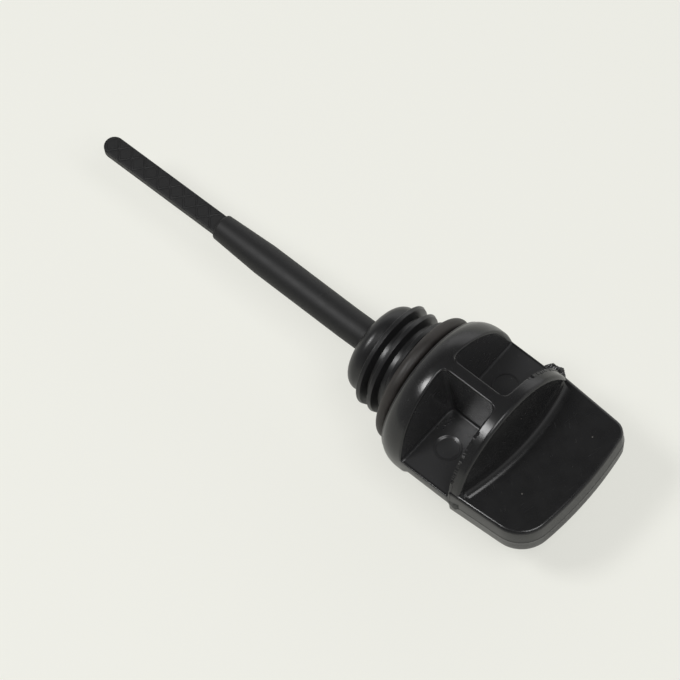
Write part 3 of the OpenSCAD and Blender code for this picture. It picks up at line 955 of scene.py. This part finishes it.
class CAP_OT_seal_ring(bpy.types.Operator):
    """Model the rubber seal ring that sits slightly askew on the neck"""

    bl_idname = "cap.seal_ring"
    bl_label = "Seal ring"

    def execute(self, context):
        s, colours, st = settings()
        around, about = 192, 40
        rings = []
        for k in range(around):
            a = 2 * math.pi * k / around
            ring = []
            for j in range(about):
                b = 2 * math.pi * j / about
                r = st.seal_centre_r + st.seal_r * math.cos(b)
                ring.append((st.seal_r * math.sin(b), r * math.cos(a), r * math.sin(a)))
            rings.append(ring)
        ring = loft("rubber_seal_ring", rings + [rings[0]], closed_ends=False)
        ring.data.transform(Matrix.Translation((-s.seal_gap - st.seal_rise - st.seal_r, 0, 0))
                            @ Matrix.Rotation(s.seal_lean, 4, "Z"))
        place(ring, st)
        smooth(ring, 60)
        ring.data.materials.append(seal_rubber(colours))
        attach(ring, BODY)
        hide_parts(RING_NODE)
        return {"FINISHED"}


def view_axes(azimuth, elevation):
    """Right, up and back of a level camera that looks from the given side"""
    back = Vector((math.sin(azimuth) * math.cos(elevation), -math.cos(azimuth) * math.cos(elevation),
                   math.sin(elevation)))
    right = Vector((math.cos(azimuth), math.sin(azimuth), 0))
    return right, back.cross(right), back


def area_light(name, aim, towards, distance, width, height, power):
    """A soft panel that faces the aim from the given direction"""
    data = bpy.data.lights.new(name, "AREA")
    data.shape = "RECTANGLE"
    data.size = width
    data.size_y = height
    data.energy = power
    obj = bpy.data.objects.new(name, data)
    direction = Vector(towards).normalized()
    obj.location = aim + direction * distance
    obj.rotation_euler = direction.to_track_quat("Z", "Y").to_euler()
    bpy.context.scene.collection.objects.link(obj)


def table_surface(colours):
    """Pale table that keeps a soft shadow and doesn't clip"""
    mat, tree, shader = new_material("pale_table")
    shader.inputs["Base Color"].default_value = (*colours.table, 1)
    shader.inputs["Roughness"].default_value = 0.7
    shader.inputs["Specular IOR Level"].default_value = 0.2
    glow = add_node(tree, "ShaderNodeEmission", {
        "Color": (*colours.table, 1), "Strength": TABLE_GLOW_STRENGTH})
    seen = add_node(tree, "ShaderNodeLightPath").outputs["Is Camera Ray"]
    mix = add_node(tree, "ShaderNodeMixShader", {
        0: calc(tree, "MULTIPLY", seen, TABLE_GLOW), 1: shader.outputs[0], 2: glow.outputs[0]})
    tree.links.new(mix.outputs[0], tree.nodes["Material Output"].inputs["Surface"])
    return mat


def room():
    """Soft room light: dim overhead and brighter towards the level of the table"""
    world = bpy.data.worlds.new("room")
    world.use_nodes = True
    tree = world.node_tree
    where = add_node(tree, "ShaderNodeTexCoord").outputs["Generated"]
    split = add_node(tree, "ShaderNodeSeparateXYZ", {0: where}).outputs
    level = remap(tree, split["Z"], 0.05, 0.85, ROOM_LEVEL, ROOM_ABOVE)
    side = add_node(tree, "ShaderNodeMapRange", {
        "Value": split["Y"], "From Min": -1, "To Min": ROOM_NEAR, "To Max": ROOM_FAR}).outputs["Result"]
    background = tree.nodes["Background"]
    background.inputs["Color"].default_value = (1, 1, 1, 1)
    tree.links.new(calc(tree, "MULTIPLY", level, side), background.inputs["Strength"])
    return world


class CAP_OT_stage(bpy.types.Operator):
    """Set up the pale table, the soft light and the camera"""

    bl_idname = "cap.stage"
    bl_label = "Stage"

    def execute(self, context):
        _, colours, st = settings()
        scene = context.scene
        scene.view_settings.view_transform = "Standard"
        aim = st.seat + VIEW_AIM
        right, up, back = view_axes(VIEW_AZIMUTH, VIEW_ELEVATION)
        turned_right = math.cos(VIEW_ROLL) * right + math.sin(VIEW_ROLL) * up
        turned_up = -math.sin(VIEW_ROLL) * right + math.cos(VIEW_ROLL) * up
        data = bpy.data.cameras.new("camera")
        data.lens = VIEW_LENS
        data.sensor_width = 36
        data.clip_start, data.clip_end = 0.01, 20
        camera = bpy.data.objects.new("camera", data)
        matrix = Matrix((turned_right, turned_up, back)).transposed().to_4x4()
        matrix.translation = aim + back * VIEW_DISTANCE
        camera.matrix_world = matrix
        scene.collection.objects.link(camera)
        scene.camera = camera

        corners = [(x * TABLE_REACH, y * TABLE_REACH, 0) for x, y in ((-1, -1), (1, -1), (1, 1), (-1, 1))]
        floor = mesh_object("table", corners, [(0, 1, 2, 3)])
        floor.data.materials.append(table_surface(colours))
        scene.world = room()
        for name, *values in PANELS:
            area_light(name, aim, *values)
        return {"FINISHED"}


class CAP_PT_panel(bpy.types.Panel):
    """Buttons that build the cap piece by piece"""

    bl_label = "Oil dipstick cap"
    bl_idname = "CAP_PT_panel"
    bl_space_type = "VIEW_3D"
    bl_region_type = "UI"
    bl_category = "Cap"

    def draw(self, context):
        for operator in OPERATORS:
            self.layout.operator(operator.bl_idname)
        for group in (context.scene.cap_sizes, context.scene.cap_colours):
            for name in group.__annotations__:
                self.layout.prop(group, name)


OPERATORS = (CAP_OT_stage, CAP_OT_moulding, CAP_OT_seal_ring)
CLASSES = (CapSizes, CapColours, *OPERATORS, CAP_PT_panel)


def register():
    """Registers the classes and hangs the sizes and colours on the scene"""
    for cls in CLASSES:
        bpy.utils.register_class(cls)
    bpy.types.Scene.cap_sizes = bpy.props.PointerProperty(type=CapSizes)
    bpy.types.Scene.cap_colours = bpy.props.PointerProperty(type=CapColours)


def unregister():
    """Takes back what register() added"""
    del bpy.types.Scene.cap_colours
    del bpy.types.Scene.cap_sizes
    for cls in reversed(CLASSES):
        bpy.utils.unregister_class(cls)


def main():
    """Builds the stage and both pieces"""
    register()
    bpy.ops.cap.stage()
    bpy.ops.cap.moulding()
    bpy.ops.cap.seal_ring()


if __name__ == "__main__":
    main()
